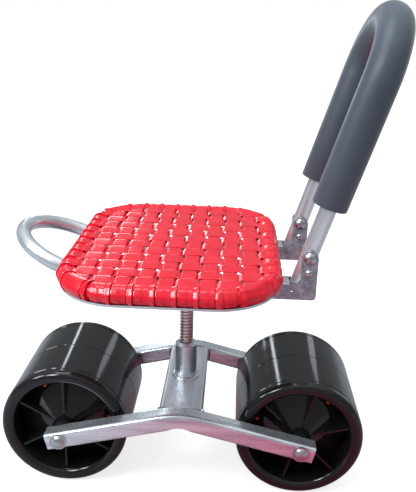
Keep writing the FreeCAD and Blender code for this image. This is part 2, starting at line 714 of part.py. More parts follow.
def pivot_hardware():
    """Dome-headed pivot bolts, lock nuts, plastic pads and pad rivets of both brackets."""
    bolts = []
    nuts = []
    pads = []
    rivets = []
    half = rail_width / 2 + plate_thickness
    for y in (-rail_y, rail_y):
        pivot = Vec(pivot_x, y, pivot_z)
        near = pivot - Y_AXIS * half
        length = 2 * half + pivot_nut_height + pivot_thread_past_nut
        shank = rod(pivot_bolt_diameter / 2, near, Y_AXIS, length)
        bolts.append(shank.fuse(dome(near, pivot_head_diameter, pivot_head_height)).removeSplitter())
        far = pivot + Y_AXIS * half
        nut = hexagon(pivot_nut_flats, far, Y_AXIS, pivot_nut_height)
        nuts.append(nut.cut(rod(pivot_bolt_diameter / 2, far, Y_AXIS, pivot_nut_height)))
        for sign in (1, -1):
            face = pivot - Y_AXIS * (sign * rail_width / 2)
            pads.append(make_pad(face, sign))
            rivets.append(make_pad_rivet(face - Z_AXIS * pad_rivet_drop, sign))
    return {
        "pivot_bolts": Part.makeCompound(bolts),
        "pivot_nuts": Part.makeCompound(nuts),
        "pivot_pads": Part.makeCompound(pads),
        "pad_rivets": Part.makeCompound(rivets),
    }


def dome(base, diameter, height):
    """Button head that stands on base towards -Y."""
    ball_radius = (diameter ** 2 / 4 + height ** 2) / (2 * height)
    centre = base + Y_AXIS * (ball_radius - height)
    latitude = math.degrees(math.asin((ball_radius - height) / ball_radius))
    return Part.makeSphere(ball_radius, centre, -Y_AXIS, latitude, 90, 360)


def back_path(start, bend_radius):
    """U-shaped mid-line in the leaning plane, from start above the pivot and back down again."""
    up = Vec(math.sin(lean), 0, math.cos(lean))
    pivot = Vec(pivot_x, 0, pivot_z)
    bend = pivot + up * (back_length - bend_radius)
    foot = pivot + up * start
    side = Y_AXIS * bend_radius
    return Part.Wire([
        Part.LineSegment(foot - side, bend - side).toShape(),
        Part.Arc(bend - side, bend + up * bend_radius, bend + side).toShape(),
        Part.LineSegment(bend + side, foot + side).toShape(),
    ])


def make_back_tube():
    """Bent tube drilled for the pivot bolts; its cut tails lean on the rails' ends."""
    path = back_path(-back_tail, rail_y)
    radius = back_tube_diameter / 2
    tube = round_pipe(path, radius).cut(round_pipe(path, radius - back_tube_wall))
    across = Vec(pivot_x, -seat_breadth / 2, pivot_z)
    return tube.cut(rod(pivot_bolt_diameter / 2 + running_clearance, across, Y_AXIS, seat_breadth))


def make_grip():
    """Foam tube pushed over the backrest's bend."""
    path = back_path(grip_start, rail_y)
    return round_pipe(path, grip_diameter / 2).cut(round_pipe(path, back_tube_diameter / 2 + grip_clearance))


def build():
    strap_top = ring_height + wrap_radius - strap_top_drop
    arm = make_arm()
    rail = make_rail()
    pieces = {
        "near_arm": mirror_y(arm),
        "far_arm": arm,
        "cross_tube": make_cross_tube(),
        "screw_socket": make_socket(),
        "frame_welds": make_frame_welds(),
        "stop_washer": make_stop_washer(),
        "lift_screw": make_lift_screw(),
        "stop_bolt": make_stop_bolt(),
        "screw_flange": make_flange_plate(),
        "near_rail": mirror_y(rail),
        "far_rail": rail,
        "base_hoop": make_hoop(),
        "seat_ring": make_seat_ring(),
        "edge_wrap": make_edge_wrap(),
        "front_to_back_straps": strap_layer(X_AXIS, Y_AXIS, ring_half_breadth, row_pitch,
                                            strap_top - strap_thickness),
        "side_to_side_straps": strap_layer(Y_AXIS, X_AXIS, ring_half_length, column_pitch, strap_top),
        "front_handle": make_handle(),
        "near_bracket_plates": bracket_plates(-1),
        "far_bracket_plates": bracket_plates(1),
        "backrest_tube": make_back_tube(),
        "foam_grip": make_grip(),
    }
    pieces.update(make_roller("front_roller", -wheelbase / 2, front_rib_angle))
    pieces.update(make_roller("rear_roller", wheelbase / 2, rear_rib_angle))
    pieces.update(axle_hardware())
    pieces.update(pivot_hardware())
    return pieces


os.makedirs("parts", exist_ok=True)
for node, shape in build().items():
    shape.translate(Vec(-origin_x, 0, 0))
    shape.exportStep("parts/" + node + ".step")
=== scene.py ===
"""Looks of the rolling garden seat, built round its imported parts."""
import json
import math
import random

import bpy
from mathutils import Matrix, Vector


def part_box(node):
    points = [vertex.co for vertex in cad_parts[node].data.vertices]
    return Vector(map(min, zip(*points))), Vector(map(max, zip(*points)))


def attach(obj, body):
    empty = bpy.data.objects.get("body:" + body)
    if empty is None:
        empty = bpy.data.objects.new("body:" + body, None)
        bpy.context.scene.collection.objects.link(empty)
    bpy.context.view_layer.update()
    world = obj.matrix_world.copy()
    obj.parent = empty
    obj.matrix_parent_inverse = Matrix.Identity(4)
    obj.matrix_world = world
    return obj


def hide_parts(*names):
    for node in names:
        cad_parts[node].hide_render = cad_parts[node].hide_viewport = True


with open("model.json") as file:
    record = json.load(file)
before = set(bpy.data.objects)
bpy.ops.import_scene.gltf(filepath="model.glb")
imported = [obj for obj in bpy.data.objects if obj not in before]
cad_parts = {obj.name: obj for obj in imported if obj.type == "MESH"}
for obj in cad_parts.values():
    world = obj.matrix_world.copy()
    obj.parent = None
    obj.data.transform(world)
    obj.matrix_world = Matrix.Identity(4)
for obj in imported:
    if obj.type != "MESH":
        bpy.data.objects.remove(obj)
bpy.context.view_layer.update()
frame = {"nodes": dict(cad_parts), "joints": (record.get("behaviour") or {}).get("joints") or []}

# Base frame: two bent square tubes, a rectangular cross tube and the screw's round socket.
# Galvanised steel, cut, bent and welded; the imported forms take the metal's finish.
MM = 0.001
noise_low = 0.3
noise_high = 0.7
fine_share = 12
wave_depth = 0.5


def linear(code):
    """Linear colour of an sRGB hex code."""
    channels = []
    for i in (0, 2, 4):
        value = int(code[i:i + 2], 16) / 255
        if value <= 0.04045:
            channels.append(value / 12.92)
        else:
            channels.append(((value + 0.055) / 1.055) ** 2.4)
    return (*channels, 1.0)


def add_node(tree, kind, settings, links):
    """New shader node with its settings made and its inputs linked."""
    node = tree.nodes.new(kind)
    for name, value in settings.items():
        if isinstance(name, int) or name in node.inputs:
            node.inputs[name].default_value = value
        else:
            setattr(node, name, value)
    for name, output in links.items():
        tree.links.new(output, node.inputs[name])
    return node


def new_material(name):
    """Empty material: its tree, its principled shader and its object coordinates."""
    material = bpy.data.materials.new(name)
    material.use_nodes = True
    tree = material.node_tree
    place = add_node(tree, "ShaderNodeTexCoord", {}, {}).outputs["Object"]
    return material, tree, tree.nodes["Principled BSDF"], place


def noise_at(tree, place, grain, detail=3.0):
    """Noise with a grain in millimetres, from 0 to 1."""
    settings = {"Scale": 1 / (grain * MM), "Detail": detail}
    return add_node(tree, "ShaderNodeTexNoise", settings, {"Vector": place}).outputs["Fac"]


def spread(tree, value, low, high, to_low, to_high):
    """A value's range from low to high stretched to another range."""
    settings = {"From Min": low, "From Max": high, "To Min": to_low, "To Max": to_high}
    return add_node(tree, "ShaderNodeMapRange", settings, {"Value": value}).outputs["Result"]


def two_tones(tree, factor, first, second):
    """Mix of two hex colours."""
    settings = {"data_type": "RGBA", 6: linear(first), 7: linear(second)}
    return add_node(tree, "ShaderNodeMix", settings, {0: factor}).outputs[2]


def add_bump(tree, shader, height, strength, depth):
    """Uneven skin on a shader, with a depth in millimetres."""
    settings = {"Strength": strength, "Distance": depth * MM}
    bump = add_node(tree, "ShaderNodeBump", settings, {"Height": height})
    tree.links.new(bump.outputs["Normal"], shader.inputs["Normal"])


def metal(name, dark, light, smooth, rough, grain, polish=1.0, drawn=None, tipped=0.0, wavy=0.3):
    """Bare or plated metal between two tones and two roughnesses, with patches of a grain in millimetres.

    Polish is its metallic share. Drawn tube has marks and waves stretched along an axis tipped about Y.
    """
    material, tree, shader, place = new_material(name)
    if drawn:
        lie = {"vector_type": "TEXTURE", "Rotation": (0, tipped, 0), "Scale": drawn}
        place = add_node(tree, "ShaderNodeMapping", lie, {"Vector": place}).outputs["Vector"]
        add_bump(tree, shader, noise_at(tree, place, grain, 1.0), wavy, wave_depth)
    patches = spread(tree, noise_at(tree, place, grain), noise_low, noise_high, 0, 1)
    fine = noise_at(tree, place, grain / fine_share)
    shader.inputs["Metallic"].default_value = polish
    tree.links.new(two_tones(tree, patches, dark, light), shader.inputs["Base Color"])
    tree.links.new(spread(tree, fine, noise_low, noise_high, smooth, rough), shader.inputs["Roughness"])
    return material


def finish_nodes(material, *names):
    """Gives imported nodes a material."""
    for name in names:
        mesh = frame["nodes"][name].data
        mesh.materials.clear()
        mesh.materials.append(material)


galvanised = metal("galvanised_steel", "C6CAD0", "DDE0E5", 0.28, 0.40, 30.0, polish=0.78)
drawn_arm = metal("galvanised_arm_tube", "B4B9C0", "E8EBF0", 0.18, 0.36, 9.0, polish=0.80,
                  drawn=(14, 1, 1))
drawn_cross = metal("galvanised_cross_tube", "BCC1C8", "E4E7EC", 0.26, 0.40, 9.0, polish=0.76,
                    drawn=(1, 14, 1))
finish_nodes(drawn_arm, "near_arm", "far_arm")
finish_nodes(drawn_cross, "cross_tube")
finish_nodes(galvanised, "screw_socket")

# Weld beads: one round the socket's foot and four upright ones at the cross tube's ends.
# Bright rippled steel, laid by hand, so each bead swells and wanders a little.
socket_low, socket_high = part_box("screw_socket")
cross_low, cross_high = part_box("cross_tube")
screw_x = (socket_low.x + socket_high.x) / 2
cross_z = (cross_low.z + cross_high.z) / 2
socket_radius = (socket_high.x - socket_low.x) / 2
bead_radius = 3.0 * MM
bead_half_length = 11.5 * MM
foot_out = 1.4 * MM
foot_up = 0.6 * MM
end_shift = 0.8 * MM
ripple_size = 3.5 * MM
ripple_height = 1.6 * MM
bpy.ops.mesh.primitive_torus_add(
    major_segments=96, minor_segments=12, major_radius=socket_radius + foot_out, minor_radius=bead_radius,
    location=(screw_x, 0, cross_high.z + foot_up))
weld = bpy.context.object
weld.name = "weld_beads"
for sign_x, end_x in ((-1, cross_low.x), (1, cross_high.x)):
    for sign_y, end_y in ((-1, cross_low.y), (1, cross_high.y)):
        bead_spot = (end_x + sign_x * end_shift, end_y - sign_y * end_shift, cross_z)
        bpy.ops.mesh.primitive_uv_sphere_add(segments=20, ring_count=24, radius=1.0, location=bead_spot)
        bead = bpy.context.object
        bead.scale = (bead_radius, bead_radius, bead_half_length)
        weld.select_set(True)
        bpy.context.view_layer.objects.active = weld
        bpy.ops.object.join()
bpy.ops.object.transform_apply(location=True, rotation=True, scale=True)
ripple = bpy.data.textures.new("bead_ripple", "CLOUDS")
ripple.noise_scale = ripple_size
lump = weld.modifiers.new("ripple", "DISPLACE")
lump.texture = ripple
lump.texture_coords = "LOCAL"
lump.strength = ripple_height
bpy.ops.object.modifier_apply(modifier=lump.name)
bpy.ops.object.shade_smooth()
weld_metal = metal("weld_bead", "B9BBBF", "E4E5E7", 0.22, 0.38, 4.0)
weld.data.materials.append(weld_metal)
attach(weld, "undercarriage")
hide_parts("frame_welds")

# Axle bolts with washers and nuts at the arms' ends, and plastic thrust washers inside.
# Zinc-plated stock fasteners and moulded black nylon, kept as packed.
zinc = metal("zinc_plate", "A9ABAE", "C9CBCD", 0.20, 0.34, 8.0)
finish_nodes(zinc, "axle_bolts", "axle_washers", "axle_nuts", "stop_washer", "stop_bolt")
nylon, nylon_tree, nylon_shader, nylon_place = new_material("nylon")
nylon_tone = two_tones(nylon_tree, noise_at(nylon_tree, nylon_place, 6.0), "0E0E0E", "1A1A1A")
nylon_tree.links.new(nylon_tone, nylon_shader.inputs["Base Color"])
nylon_shader.inputs["Roughness"].default_value = 0.45
finish_nodes(nylon, "thrust_washers", "front_roller_bushes", "rear_roller_bushes", "pivot_pads")

# Rollers: two moulded half shells each, bolted together through posts inside.
# Glossy black polypropylene with faint scuffs; the tie bolts are copper-coloured by their plating.
scuff_grain = 22.0
dimple_grain = 14.0
dimple_depth = 0.3
roller_plastic, pp_tree, pp_shader, pp_place = new_material("black_polypropylene")
pp_wear = noise_at(pp_tree, pp_place, scuff_grain, 5.0)
pp_tree.links.new(two_tones(pp_tree, pp_wear, "131213", "1C1A1B"), pp_shader.inputs["Base Color"])
pp_tree.links.new(spread(pp_tree, pp_wear, 0.3, 0.75, 0.06, 0.12), pp_shader.inputs["Roughness"])
add_bump(pp_tree, pp_shader, noise_at(pp_tree, pp_place, dimple_grain, 2.0), 0.12, dimple_depth)
pp_shader.inputs["Specular IOR Level"].default_value = 0.43
copper = metal("copper_plate", "8A4528", "B0653C", 0.30, 0.45, 3.0)
for roller in ("front_roller", "rear_roller"):
    finish_nodes(roller_plastic, roller + "_near_shell", roller + "_far_shell")
    finish_nodes(copper, roller + "_tie_bolts")
    finish_nodes(zinc, roller + "_tie_nuts")

# Lift screw: a bar with a right-hand trapezoidal thread of 5 mm pitch over its whole length.
# Oiled steel, thread cut in a lathe, with a turned pilot below for the stop washer.
screw_low, screw_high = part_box("lift_screw")
thread_pitch = 5.0 * MM
thread_depth = 2.1 * MM
thread_steps = 36
root_flat = 1.4 * MM
crest_flat = 1.8 * MM
flank = (thread_pitch - root_flat - crest_flat) / 2
crest = (screw_high.x - screw_low.x) / 2
root = crest - thread_depth
pilot_length = 3.4 * MM
pilot_inset = 3.2 * MM
shoulder = screw_low.z + pilot_length
top_trim = 0.02 * MM
seam_gap = 0.02 * MM
bpy.ops.mesh.primitive_plane_add(size=1 * MM, location=(0, 0, 0))
screw = bpy.context.object
screw.name = "threaded_screw"
bpy.ops.object.mode_set(mode="EDIT")
bpy.ops.mesh.select_all(action="SELECT")
bpy.ops.mesh.merge(type="CENTER")
bpy.ops.transform.translate(value=(root, 0, 0))
for step in ((0, 0, root_flat), (thread_depth, 0, flank), (0, 0, crest_flat), (-thread_depth, 0, flank)):
    bpy.ops.mesh.extrude_region_move(TRANSFORM_OT_translate={"value": step})
bpy.ops.object.mode_set(mode="OBJECT")
thread = screw.modifiers.new("thread", "SCREW")
thread.screw_offset = thread_pitch
thread.iterations = math.ceil((screw_high.z - shoulder) / thread_pitch) + 2
thread.steps = thread_steps
thread.render_steps = thread_steps
thread.use_merge_vertices = True
thread.merge_threshold = seam_gap
bpy.ops.object.modifier_apply(modifier=thread.name)
screw.location = (screw_x, 0, shoulder - thread_pitch)
bpy.ops.object.transform_apply(location=True, rotation=True, scale=True)
bpy.ops.object.mode_set(mode="EDIT")
for height, upper in ((screw_high.z - top_trim, True), (shoulder, False)):
    bpy.ops.mesh.select_all(action="SELECT")
    bpy.ops.mesh.bisect(plane_co=(screw_x, 0, height), plane_no=(0, 0, 1), use_fill=True,
                        clear_outer=upper, clear_inner=not upper)
bpy.ops.mesh.inset(thickness=pilot_inset)
bpy.ops.mesh.extrude_region_move(TRANSFORM_OT_translate={"value": (0, 0, -pilot_length)})
bpy.ops.mesh.select_all(action="SELECT")
bpy.ops.mesh.normals_make_consistent(inside=False)
bpy.ops.object.mode_set(mode="OBJECT")
bpy.ops.object.shade_smooth_by_angle(angle=math.radians(25))
screw_steel = metal("oiled_steel", "CDBDBB", "E8DAD8", 0.30, 0.42, 10.0)
screw.data.materials.append(screw_steel)
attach(screw, "seat")
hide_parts("lift_screw")

# Seat frame: flange plate on the screw, two rectangular rails, a flat hoop, a tube ring and the handle.
# Galvanised steel, bent and welded; the ring is hidden by its wrapping.
finish_nodes(galvanised, "screw_flange", "near_rail", "far_rail", "base_hoop", "seat_ring", "front_handle")

# Edge wrapping: strap turned round the tube ring, low all round and higher between the seat's straps.
# Glossy red polyethylene strap, drawn tight, so that the higher turns lie flat over the edge's face.
# One wide turn closes each corner, and the higher turns at the rear and the front run aslant.
ring_low, ring_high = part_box("seat_ring")
strap_low, strap_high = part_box("side_to_side_straps")
tube_radius = (ring_high.z - ring_low.z) / 2
ring_z = (ring_low.z + ring_high.z) / 2
seat_x = (ring_low.x + ring_high.x) / 2
ring_x = (ring_high.x - ring_low.x) / 2 - tube_radius
ring_y = (ring_high.y - ring_low.y) / 2 - tube_radius
corner = 73.0 * MM
corner_run = corner * math.pi / 2
side_x = ring_x - corner
side_y = ring_y - corner
runs = (2 * side_y, corner_run, 2 * side_x, corner_run) * 2
columns = 9
rows = 12
column_pitch = 25.7 * MM
row_pitch = 27.0 * MM
leave = math.radians(118)
tuck = math.radians(-78)
face_middle = math.radians(35)
half_face = math.radians(24)
turn_rings = 10
turn_swell = 0.55
tight_rise = 1.0 * MM
low_pitch = 9.0 * MM
low_rise = 0.2 * MM
low_slope = 0.06
high_width = 6.4 * MM
high_rise = 2.5 * MM
high_slopes = (0.25, 0.30)
high_drifts = (14.0 * MM, 0.0, -4.0 * MM, 0.0)
corner_width = 38.0 * MM
corner_rise = 2.9 * MM
corner_slope = 0.015
red_grain = 18.0
skin_grain = 5.0
skin_depth = 0.25


def strap_plastic(name, dark, light):
    """Glossy strap plastic with slow changes of red and a slightly uneven skin."""
    material, tree, shader, place = new_material(name)
    slow = spread(tree, noise_at(tree, place, red_grain), noise_low, noise_high, 0, 1)
    tree.links.new(two_tones(tree, slow, dark, light), shader.inputs["Base Color"])
    tree.links.new(spread(tree, slow, 0, 1, 0.14, 0.22), shader.inputs["Roughness"])
    add_bump(tree, shader, noise_at(tree, place, skin_grain, 2.0), 0.15, skin_depth)
    return material


def ring_place(along, outward, up):
    """Point beside the ring: along its mid-line, outward from it and up, in metres."""
    along = along % sum(runs)
    index = 0
    while along > runs[index]:
        along -= runs[index]
        index += 1
    quarter = Matrix.Rotation(math.radians(90 * (index // 2)), 3, "Z")
    half_x, half_y = (side_x, side_y) if index // 2 % 2 == 0 else (side_y, side_x)
    if index % 2 == 0:
        point = Vector((half_x + corner + outward, along - half_y, up))
    else:
        angle = along / corner
        reach = corner + outward
        point = Vector((half_x + reach * math.cos(angle), half_y + reach * math.sin(angle), up))
    return quarter @ point + Vector((seat_x, 0, ring_z))


def flatten(angle):
    """Share of the round section that is left where strap drawn tight lies flat over the edge's face."""
    from_face = angle - face_middle
    return math.cos(half_face) / math.cos(from_face) if abs(from_face) < half_face else 1.0


def add_turn(middle, width, low_edge, slope, drift):
    """One turn of strap round the ring: place and width along it, low edge's rise, slope and drift."""
    copy = turn.copy()
    copy.data = turn.data.copy()
    bpy.context.collection.objects.link(copy)
    for vertex in copy.data.vertices:
        ring_step = round((vertex.co.y + 0.5) * turn_rings)
        across = min(max((ring_step - 1) / (turn_rings - 2), 0.0), 1.0)
        rise = low_edge + width * slope * ((1 + turn_swell) * across - turn_swell * across ** 2)
        if ring_step in (0, turn_rings):
            rise = 0.0
        angle = vertex.co.x * 2 * math.pi
        radius = (tube_radius + rise) * (flatten(angle) if low_edge > tight_rise else 1.0)
        along = middle + (across - 0.5) * width + drift * (math.sin(angle) - math.sin(leave))
        vertex.co = ring_place(along, radius * math.cos(angle), radius * math.sin(angle))
    turns_made.append(copy)


def join_all(objects, name):
    """Joins objects into one piece."""
    bpy.ops.object.select_all(action="DESELECT")
    for item in objects:
        item.select_set(True)
    bpy.context.view_layer.objects.active = objects[0]
    bpy.ops.object.join()
    piece = bpy.context.object
    piece.name = name
    return piece


red_strap = strap_plastic("red_polyethylene", "DC0F26", "EA1B34")
bpy.ops.mesh.primitive_grid_add(x_subdivisions=48, y_subdivisions=turn_rings, size=1.0)
turn = bpy.context.object
turn.name = "edge_turn"
turns_made = []
distance = 0.0
for run in runs:
    count = round(run / low_pitch)
    for i in range(count):
        add_turn(distance + run * (i + 0.5) / count, run / count, low_rise, low_slope, 0.0)
    distance += run
random.seed(7)
distance = 0.0
for side in range(4):
    half = runs[2 * side] / 2
    middle = distance + half
    strap_gap = row_pitch if side % 2 == 0 else column_pitch
    between = (rows if side % 2 == 0 else columns) - 1
    for i in range(between):
        offset = (i - (between - 1) / 2) * strap_gap
        past = max(0.0, abs(offset) - half)
        if past > 0:
            offset = math.copysign(half + corner * math.asin(past / corner), offset)
        add_turn(middle + offset, high_width, high_rise, random.uniform(*high_slopes), high_drifts[side])
    add_turn(middle + half + corner_run / 2, corner_width, corner_rise, corner_slope, 0.0)
    distance += 2 * half + corner_run
bpy.data.objects.remove(turn)
edge_wrap = join_all(turns_made, "edge_wrapping")
bpy.ops.object.mode_set(mode="EDIT")
bpy.ops.mesh.select_all(action="SELECT")
bpy.ops.mesh.remove_doubles(threshold=0.01 * MM)
bpy.ops.mesh.normals_make_consistent(inside=False)
bpy.ops.object.mode_set(mode="OBJECT")
bpy.ops.object.shade_smooth_by_angle(angle=math.radians(50))
edge_wrap.data.materials.append(red_strap)
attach(edge_wrap, "seat")
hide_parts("edge_wrap")

# Woven seat: nine straps from side to side and twelve from front to back, over one, under one.
# Flat glossy polyethylene strap, the rows wider than the columns; each end goes over the ring and is
# tucked in below it. Over the rim a strap is lapped on itself, and at the rear drawn aslant into a ridge.
column_width = 18.6 * MM
row_width = 24.6 * MM
strap_thickness = 1.3 * MM
strap_bevel = 0.6 * MM
weave_drop = 0.6 * MM
weave_z = (strap_low.z + strap_high.z) / 2 - ring_z - weave_drop
weave_rise = 1.25 * MM
slope_half = 2.7 * MM
slope_ease = 0.25
rim_easing = 11.5 * MM
crown_height = 0.35 * MM
waist = 0.04
ring_gap = 0.6 * MM
hug = tube_radius + ring_gap + strap_thickness / 2
loose_shift = 0.6 * MM
loose_sway = 0.5 * MM
loose_tilt = 0.02
loose_lift = 0.3 * MM
outer_angle = math.radians(60)
lap_rise = 0.9 * MM
lap_end = 0.05
lap_foot = 0.15 * MM
lap_slope = 0.3 * MM
ridge_from = 8.0 * MM
ridge_rise = 3.6 * MM
ridge_foot = 0.6 * MM
ridge_narrowing = 0.26
column_drifts = (0.0, 0.0)
row_drifts = (4.0 * MM, 14.0 * MM)
column_seed = 100
row_seed = 200
crossing_steps = 20
wrap_steps = 16
lateral_steps = 10


def to_ring(offset, half_near, half_far):
    """Distance to the ring's mid-line at a sideways offset, and the slant of the ring there."""
    past = abs(offset) - half_near
    if past <= 0:
        return half_far + corner, 1.0
    reach = math.sqrt(corner ** 2 - past ** 2)
    return half_far + reach, reach / corner


def rim_rise(lateral, slant, drift):
    """Rise of a strap's section over the rim: half lapped on half, or a ridge where drawn far aslant."""
    if drift > ridge_from:
        return (ridge_rise * (1 - lateral ** 2) - ridge_foot) * slant ** 2
    if lateral < lap_end:
        return lap_rise * (lateral + 1)
    return lap_foot + lap_slope * lateral


def make_strap(name, strap_width, offset, half_near, half_far, crossings, pitch, first_up, drifts, seed):
    """One strap along Y, centred on the ring's middle, at a sideways offset, with a drift for each end."""
    rng = random.Random(seed)
    inner_steps = crossings * crossing_steps
    total = inner_steps + 2 * wrap_steps
    bpy.ops.mesh.primitive_grid_add(x_subdivisions=lateral_steps, y_subdivisions=total, size=1.0)
    strap = bpy.context.object
    strap.name = name
    shift = rng.uniform(-loose_shift, loose_shift)
    sway = [rng.uniform(-loose_sway, loose_sway) for _ in range(crossings + 2)]
    tilt = [rng.uniform(-loose_tilt, loose_tilt) for _ in range(crossings + 2)]
    lift = rng.uniform(0.0, loose_lift)
    for vertex in strap.data.vertices:
        lateral = vertex.co.x * 2
        sideways = lateral * strap_width / 2
        step = round((vertex.co.y + 0.5) * total)
        side = offset + shift + sideways
        reach, slant = to_ring(side, half_near, half_far)
        crown = crown_height * (1 - abs(lateral) ** 4)
        start = reach + hug * math.cos(leave) / slant
        if step <= wrap_steps or step >= total - wrap_steps:
            far = step > wrap_steps
            turn_step = total - step if far else step
            angle = tuck + (leave - tuck) * turn_step / wrap_steps
            drift = drifts[1 if far else 0]
            outer = min(1.0, (leave - angle) / outer_angle)
            rise = crown * (1 - outer) + rim_rise(lateral, slant, drift) * outer
            radius = (hug + lift + rise) * flatten(angle)
            if drift > ridge_from:
                side -= sideways * ridge_narrowing * outer
            side += drift * slant ** 2 * (max(math.sin(angle), 0.0) - math.sin(leave))
            reach, slant = to_ring(side, half_near, half_far)
            along = reach + radius * math.cos(angle) / slant
            height = radius * math.sin(angle)
            vertex.co = (side, along if far else -along, height)
            continue
        share = (step - wrap_steps) / inner_steps
        along = -start + 2 * start * share
        cell = along / pitch + (crossings - 1) / 2
        past_pad = (cell - math.floor(cell) - 0.5) * pitch / slope_half
        past_pad = min(max(past_pad, -1.0), 1.0)
        wave = slope_ease * past_pad ** 5 - (1 + slope_ease) * past_pad
        wave *= 1 - 2 * (math.floor(cell) % 2)
        near_edge = (start - abs(along)) * slant
        easing = max(0.0, 1 - near_edge / rim_easing)
        drop = hug * math.sin(leave) - weave_z
        knot = min(max(round(cell) + 1, 0), crossings + 1)
        loose = math.cos(math.pi * (cell - round(cell))) * (1 - easing)
        height = weave_z + drop * easing ** 2 + crown + lift * easing
        height += first_up * weave_rise * wave * (1 - easing ** 2)
        height += tilt[knot] * sideways * loose
        pinch = 1 - waist * (1 - abs(math.cos(math.pi * cell)))
        side = offset + shift + sideways * pinch + sway[knot] * loose
        vertex.co = (side, along, height)
    thick = strap.modifiers.new("thickness", "SOLIDIFY")
    thick.thickness = strap_thickness
    thick.offset = 0
    edge = strap.modifiers.new("rounded_edges", "BEVEL")
    edge.width = strap_bevel
    edge.segments = 3
    edge.limit_method = "ANGLE"
    edge.angle_limit = math.radians(55)
    for modifier in (thick.name, edge.name):
        bpy.ops.object.modifier_apply(modifier=modifier)
    return strap


def join_straps(straps, name, node):
    """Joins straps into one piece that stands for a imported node."""
    piece = join_all(straps, name)
    piece.location = (seat_x, 0, ring_z)
    bpy.ops.object.transform_apply(location=True, rotation=True, scale=True)
    bpy.ops.object.mode_set(mode="EDIT")
    bpy.ops.mesh.select_all(action="SELECT")
    bpy.ops.mesh.normals_make_consistent(inside=False)
    bpy.ops.object.mode_set(mode="OBJECT")
    bpy.ops.object.shade_smooth_by_angle(angle=math.radians(50))
    piece.data.materials.append(red_strap)
    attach(piece, "seat")
    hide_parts(node)


made = []
for i in range(columns):
    offset = (i - (columns - 1) / 2) * column_pitch
    first_up = 1 - 2 * (i % 2)
    made.append(make_strap("column_strap", column_width, offset, side_x, side_y, rows, row_pitch,
                           first_up, column_drifts, column_seed + i))
join_straps(made, "side_to_side_weave", "side_to_side_straps")
made = []
for j in range(rows):
    offset = (j - (rows - 1) / 2) * row_pitch
    first_up = 2 * (j % 2) - 1
    strap = make_strap("row_strap", row_width, offset, side_y, side_x, columns, column_pitch,
                       first_up, row_drifts, row_seed + j)
    for vertex in strap.data.vertices:
        vertex.co = (vertex.co.y, vertex.co.x, vertex.co.z)
    made.append(strap)
join_straps(made, "front_to_back_weave", "front_to_back_straps")

# Brackets and pivots: a plate on either side of each rail's end, pivot bolts, nuts, pads and pad rivets.
# Plates cut from sheet steel, duller than the tubes; fasteners zinc plated, all kept as packed.
sheet_steel = metal("sheet_steel", "81868D", "B6BAC0", 0.34, 0.46, 7.0, polish=0.75)
finish_nodes(sheet_steel, "near_bracket_plates", "far_bracket_plates")
finish_nodes(zinc, "pivot_bolts", "pivot_nuts", "pad_rivets")

# Backrest: a U of round tube hinged on the pivot bolts.
# Galvanised steel, drawn and bent cold, kept as packed; its marks run along the leaning legs.
lean = math.radians(16.8)
drawn_back = metal("galvanised_back_tube", "BFC3C9", "FBFBFC", 0.20, 0.30, 9.0, polish=0.68,
                   drawn=(1, 1, 30), tipped=lean, wavy=0.05)
finish_nodes(drawn_back, "backrest_tube")

# Foam grip: a long foam tube pushed over the backrest's bend, cut square at both ends.
# Dark slate foam rubber with a smooth satin skin.
fold_joint = [joint for joint in frame["joints"] if joint["name"] == "backrest_fold"][0]
pivot = Vector(fold_joint["pos_m"])
up = Vector((math.sin(lean), 0, math.cos(lean)))
facing = Vector((math.cos(lean), 0, -math.sin(lean)))
grip_radius = 23.0 * MM
bend_radius = 73.0 * MM
bend_top = 301.0 * MM
bend_start = bend_top - bend_radius
grip_start = 68.6 * MM
end_bevel = 1.6 * MM
shade_grain = 40.0
pore_grain = 0.8
pore_depth = 0.1
bpy.ops.mesh.primitive_circle_add(
    vertices=56, radius=grip_radius, fill_type="NGON",
    location=pivot + up * grip_start - Vector((0, bend_radius, 0)), rotation=(0, lean, 0))
grip = bpy.context.object
grip.name = "foam_tube"
bpy.ops.object.transform_apply(location=True, rotation=True, scale=True)
bpy.ops.object.mode_set(mode="EDIT")
bpy.ops.mesh.select_all(action="SELECT")
straight = up * (bend_start - grip_start)
bpy.ops.mesh.extrude_region_move(TRANSFORM_OT_translate={"value": straight})
bpy.ops.mesh.spin(steps=40, angle=math.pi, center=pivot + up * bend_start, axis=facing)
bpy.ops.mesh.extrude_region_move(TRANSFORM_OT_translate={"value": -straight})
bpy.ops.mesh.select_all(action="SELECT")
bpy.ops.mesh.normals_make_consistent(inside=False)
bpy.ops.object.mode_set(mode="OBJECT")
soft_edge = grip.modifiers.new("soft_edge", "BEVEL")
soft_edge.width = end_bevel
soft_edge.segments = 3
soft_edge.limit_method = "ANGLE"
soft_edge.angle_limit = math.radians(60)
bpy.ops.object.modifier_apply(modifier=soft_edge.name)
bpy.ops.object.shade_smooth_by_angle(angle=math.radians(40))
foam, foam_tree, foam_shader, foam_place = new_material("foam_rubber")
foam_slow = noise_at(foam_tree, foam_place, shade_grain)
foam_tree.links.new(two_tones(foam_tree, foam_slow, "39414C", "48515E"), foam_shader.inputs["Base Color"])
foam_shader.inputs["Roughness"].default_value = 0.44
foam_shader.inputs["Sheen Weight"].default_value = 0.25
add_bump(foam_tree, foam_shader, noise_at(foam_tree, foam_place, pore_grain, 2.0), 0.2, pore_depth)
grip.data.materials.append(foam)
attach(grip, "backrest")
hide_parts("foam_grip")

